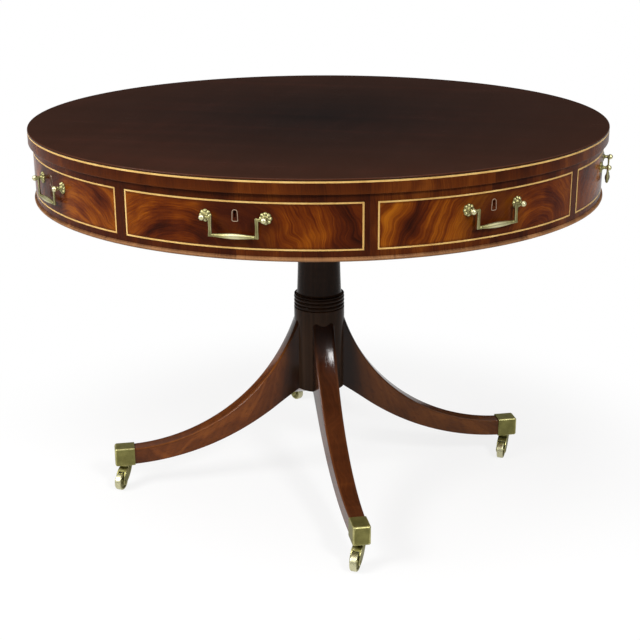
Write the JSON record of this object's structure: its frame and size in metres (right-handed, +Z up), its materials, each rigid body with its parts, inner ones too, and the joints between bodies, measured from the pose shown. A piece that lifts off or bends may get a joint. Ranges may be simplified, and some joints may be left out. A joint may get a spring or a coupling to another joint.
{
  "type": "drum table",
  "caption": "Round library table whose drum turns on a four-legged pedestal with casters; curved drawers and false fronts with swinging bail handles and key locks.",
  "frame": {"origin": "on the floor, on the pedestal's axis", "axes": "+Z up; the front drawer faces -Y, the right drawer faces +X"},
  "size_m": [1.118, 1.118, 0.75],
  "materials": {
    "mahogany_top": "French polished, glossy",
    "mahogany": "French polished, glossy",
    "mahogany_band": "crossbanded veneer, polished",
    "mahogany_pedestal": "French polished, glossy",
    "boxwood": "polished stringing",
    "drawer_oak": "waxed, satin",
    "carcase_pine": "bare, matt",
    "brass": "aged, polished by use",
    "caster_brass": "aged",
    "lock_brass": "brushed",
    "iron": "blackened",
    "steel": "satin"
  },
  "bodies": {
    "pedestal": {"column": "mahogany_pedestal", "bearing_block": "mahogany_pedestal", "pivot_pin": "iron", "front_leg": "mahogany_pedestal", "right_leg": "mahogany_pedestal", "back_leg": "mahogany_pedestal", "left_leg": "mahogany_pedestal", "toe_caps": "caster_brass", "leg_plate": "iron"},
    "drum": {"top_board": "mahogany_top", "edge_banding": "mahogany_band", "drum_stringing": "boxwood", "top_rail": "mahogany_band", "bottom_rail": "mahogany_band", "base_moulding": "mahogany_band", "stiles": "mahogany_band", "drum_partitions": "carcase_pine", "drum_bottom": "carcase_pine", "false_fronts": "mahogany", "false_front_fittings": "brass"},
    "front_drawer": {"front_drawer_face": "mahogany", "front_drawer_stringing": "boxwood", "front_drawer_box": "drawer_oak", "front_drawer_posts": "brass", "front_drawer_lock": "lock_brass"},
    "front_drawer_bail": {"front_drawer_bail": "brass"},
    "front_lock_bolt": {"front_drawer_bolt": "steel"},
    "right_drawer": {"right_drawer_face": "mahogany", "right_drawer_stringing": "boxwood", "right_drawer_box": "drawer_oak", "right_drawer_posts": "brass", "right_drawer_lock": "lock_brass"},
    "right_drawer_bail": {"right_drawer_bail": "brass"},
    "right_lock_bolt": {"right_drawer_bolt": "steel"},
    "back_drawer": {"back_drawer_face": "mahogany", "back_drawer_stringing": "boxwood", "back_drawer_box": "drawer_oak", "back_drawer_posts": "brass", "back_drawer_lock": "lock_brass"},
    "back_drawer_bail": {"back_drawer_bail": "brass"},
    "back_lock_bolt": {"back_drawer_bolt": "steel"},
    "left_drawer": {"left_drawer_face": "mahogany", "left_drawer_stringing": "boxwood", "left_drawer_box": "drawer_oak", "left_drawer_posts": "brass", "left_drawer_lock": "lock_brass"},
    "left_drawer_bail": {"left_drawer_bail": "brass"},
    "left_lock_bolt": {"left_drawer_bolt": "steel"},
    "front_right_bail": {"front_right_bail": "brass"},
    "back_right_bail": {"back_right_bail": "brass"},
    "back_left_bail": {"back_left_bail": "brass"},
    "front_left_bail": {"front_left_bail": "brass"},
    "front_caster": {"front_caster_horn": "caster_brass"},
    "front_wheel": {"front_caster_wheel": "caster_brass"},
    "right_caster": {"right_caster_horn": "caster_brass"},
    "right_wheel": {"right_caster_wheel": "caster_brass"},
    "back_caster": {"back_caster_horn": "caster_brass"},
    "back_wheel": {"back_caster_wheel": "caster_brass"},
    "left_caster": {"left_caster_horn": "caster_brass"},
    "left_wheel": {"left_caster_wheel": "caster_brass"}
  },
  "joints": [
    {"name": "drum_turn", "type": "hinge", "parent": "pedestal", "child": "drum", "pos_m": [0, 0, 0.617], "axis": [0, 0, 1], "continuous": true},
    {"name": "front_drawer_slide", "type": "slide", "parent": "drum", "child": "front_drawer", "axis": [0, -1, 0], "range_m": [0, 0.25]},
    {"name": "right_drawer_slide", "type": "slide", "parent": "drum", "child": "right_drawer", "axis": [1, 0, 0], "range_m": [0, 0.25]},
    {"name": "back_drawer_slide", "type": "slide", "parent": "drum", "child": "back_drawer", "axis": [0, 1, 0], "range_m": [0, 0.25]},
    {"name": "left_drawer_slide", "type": "slide", "parent": "drum", "child": "left_drawer", "axis": [-1, 0, 0], "range_m": [0, 0.25]},
    {"name": "front_drawer_bail_swing", "type": "hinge", "parent": "front_drawer", "child": "front_drawer_bail", "pos_m": [0, -0.55174, 0.685], "axis": [-1, 0, 0], "range_deg": [-8, 180]},
    {"name": "right_drawer_bail_swing", "type": "hinge", "parent": "right_drawer", "child": "right_drawer_bail", "pos_m": [0.55174, 0, 0.685], "axis": [0, -1, 0], "range_deg": [-8, 180]},
    {"name": "back_drawer_bail_swing", "type": "hinge", "parent": "back_drawer", "child": "back_drawer_bail", "pos_m": [0, 0.55174, 0.685], "axis": [1, 0, 0], "range_deg": [-8, 180]},
    {"name": "left_drawer_bail_swing", "type": "hinge", "parent": "left_drawer", "child": "left_drawer_bail", "pos_m": [-0.55174, 0, 0.685], "axis": [0, 1, 0], "range_deg": [-8, 180]},
    {"name": "front_right_bail_swing", "type": "hinge", "parent": "drum", "child": "front_right_bail", "pos_m": [0.39014, -0.39014, 0.685], "axis": [-0.7071, -0.7071, 0], "range_deg": [-8, 180]},
    {"name": "back_right_bail_swing", "type": "hinge", "parent": "drum", "child": "back_right_bail", "pos_m": [0.39014, 0.39014, 0.685], "axis": [0.7071, -0.7071, 0], "range_deg": [-8, 180]},
    {"name": "back_left_bail_swing", "type": "hinge", "parent": "drum", "child": "back_left_bail", "pos_m": [-0.39014, 0.39014, 0.685], "axis": [0.7071, 0.7071, 0], "range_deg": [-8, 180]},
    {"name": "front_left_bail_swing", "type": "hinge", "parent": "drum", "child": "front_left_bail", "pos_m": [-0.39014, -0.39014, 0.685], "axis": [-0.7071, 0.7071, 0], "range_deg": [-8, 180]},
    {"name": "front_bolt_slide", "type": "slide", "parent": "front_drawer", "child": "front_lock_bolt", "axis": [0, 0, 1], "range_m": [0, 0.008]},
    {"name": "right_bolt_slide", "type": "slide", "parent": "right_drawer", "child": "right_lock_bolt", "axis": [0, 0, 1], "range_m": [0, 0.008]},
    {"name": "back_bolt_slide", "type": "slide", "parent": "back_drawer", "child": "back_lock_bolt", "axis": [0, 0, 1], "range_m": [0, 0.008]},
    {"name": "left_bolt_slide", "type": "slide", "parent": "left_drawer", "child": "left_lock_bolt", "axis": [0, 0, 1], "range_m": [0, 0.008]},
    {"name": "front_caster_swivel", "type": "hinge", "parent": "pedestal", "child": "front_caster", "pos_m": [0.16514, -0.3709, 0.048], "axis": [0, 0, 1], "continuous": true},
    {"name": "front_wheel_roll", "type": "hinge", "parent": "front_caster", "child": "front_wheel", "pos_m": [0.16263, -0.39477, 0.0175], "axis": [0.9945, -0.1045, 0], "continuous": true},
    {"name": "right_caster_swivel", "type": "hinge", "parent": "pedestal", "child": "right_caster", "pos_m": [0.3709, 0.16514, 0.048], "axis": [0, 0, 1], "continuous": true},
    {"name": "right_wheel_roll", "type": "hinge", "parent": "right_caster", "child": "right_wheel", "pos_m": [0.36839, 0.14127, 0.0175], "axis": [0.9945, -0.1045, 0], "continuous": true},
    {"name": "back_caster_swivel", "type": "hinge", "parent": "pedestal", "child": "back_caster", "pos_m": [-0.16514, 0.3709, 0.048], "axis": [0, 0, 1], "continuous": true},
    {"name": "back_wheel_roll", "type": "hinge", "parent": "back_caster", "child": "back_wheel", "pos_m": [-0.14547, 0.35713, 0.0175], "axis": [0.5736, 0.8192, 0], "continuous": true},
    {"name": "left_caster_swivel", "type": "hinge", "parent": "pedestal", "child": "left_caster", "pos_m": [-0.3709, -0.16514, 0.048], "axis": [0, 0, 1], "continuous": true},
    {"name": "left_wheel_roll", "type": "hinge", "parent": "left_caster", "child": "left_wheel", "pos_m": [-0.37341, -0.189, 0.0175], "axis": [0.9945, -0.1045, 0], "continuous": true}
  ]
}
